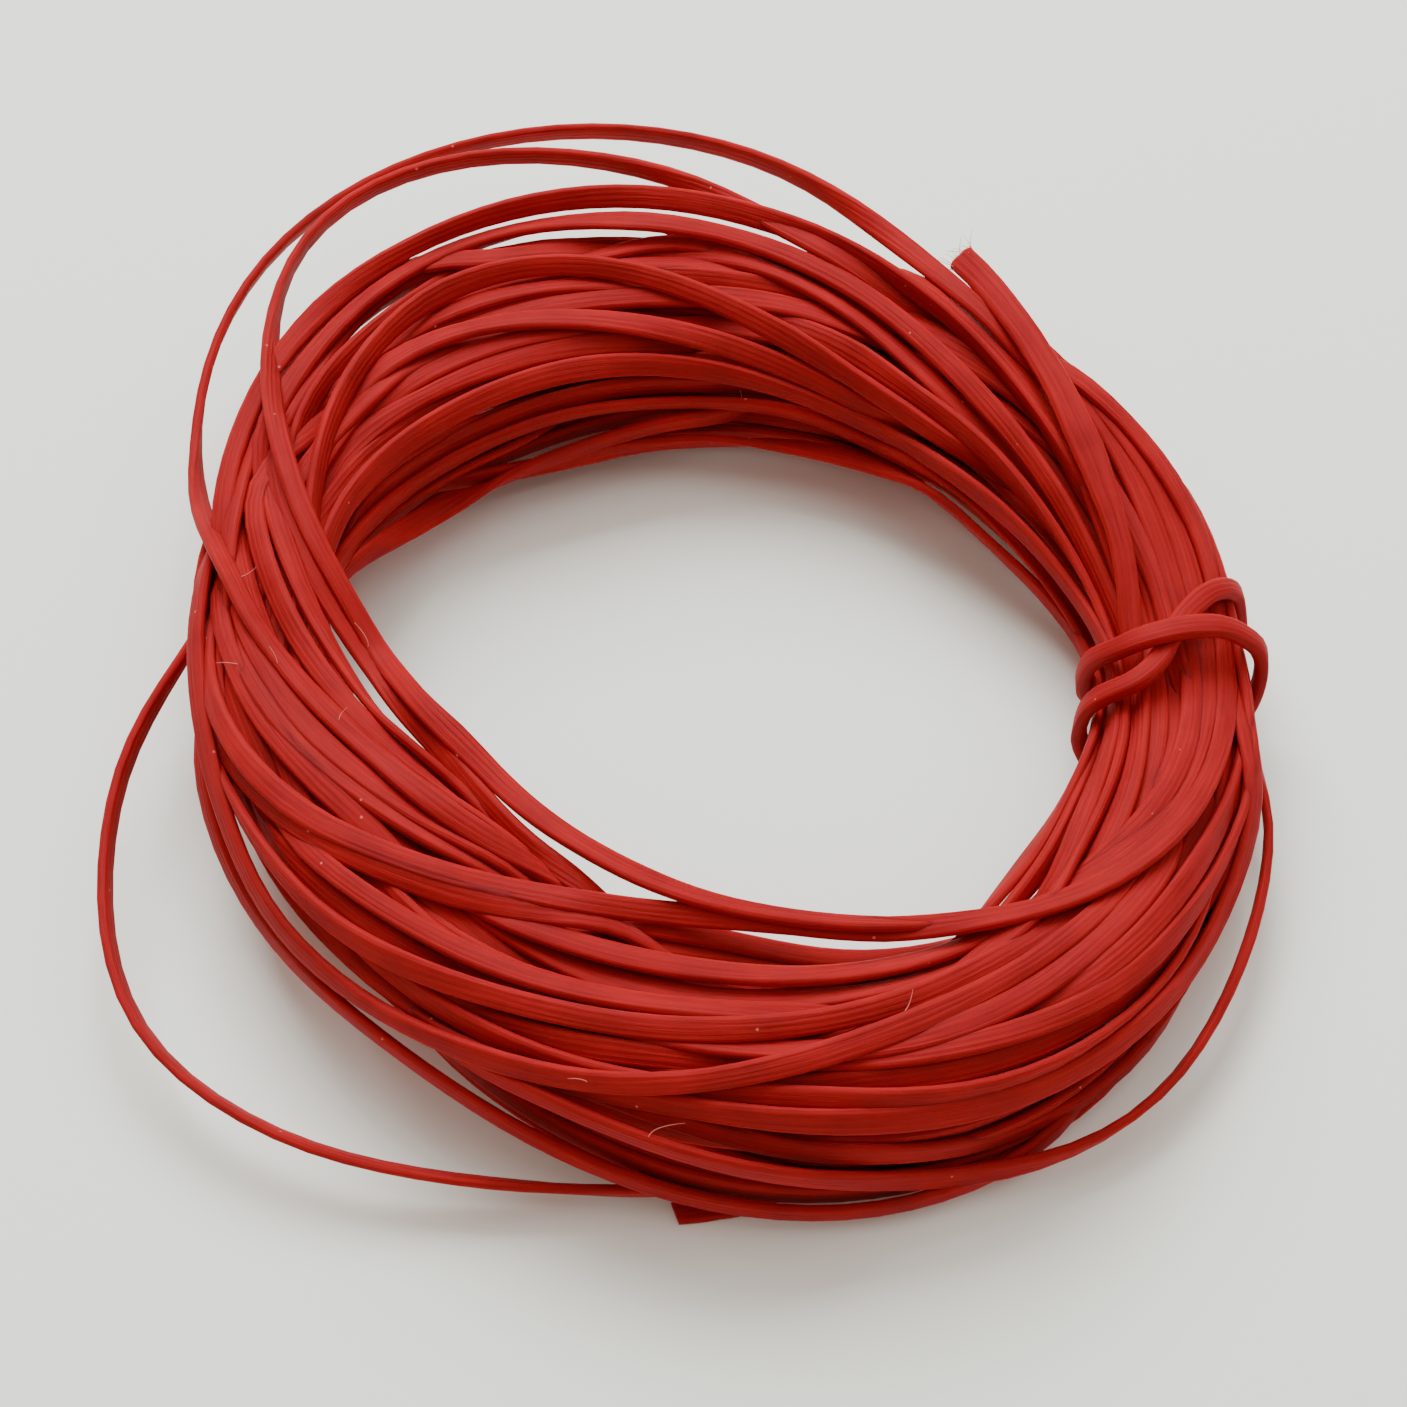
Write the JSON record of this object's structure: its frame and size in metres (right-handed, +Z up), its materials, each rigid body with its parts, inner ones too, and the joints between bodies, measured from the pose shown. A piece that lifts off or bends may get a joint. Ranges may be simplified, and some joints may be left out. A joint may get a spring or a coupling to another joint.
{
  "type": "skein of flat cord",
  "caption": "Flat waxed cord wound into a flat-lying ring, squeezed at one side by wraps of its own end, with a frayed loose end and some turns standing clear.",
  "frame": {"origin": "on the surface that the skein lies on, below the middle of its overall box", "axes": "+Z up, away from that surface; +X towards the tied side of the ring; +Y along the skein's longest side, towards the turns that stand clear at the far side"},
  "size_m": [0.0626, 0.07, 0.0121],
  "materials": {
    "cord": "flat braided polyester with a satin wax coat"
  },
  "bodies": {
    "root": {"skein": "cord", "tie_wraps": "cord", "loose_end": "cord", "cut_end": "cord", "stray_turn_left": "cord", "stray_turn_far_outer": "cord", "stray_turn_far_inner": "cord", "stray_turn_right": "cord", "stray_turn_near_inner": "cord"}
  },
  "joints": []
}
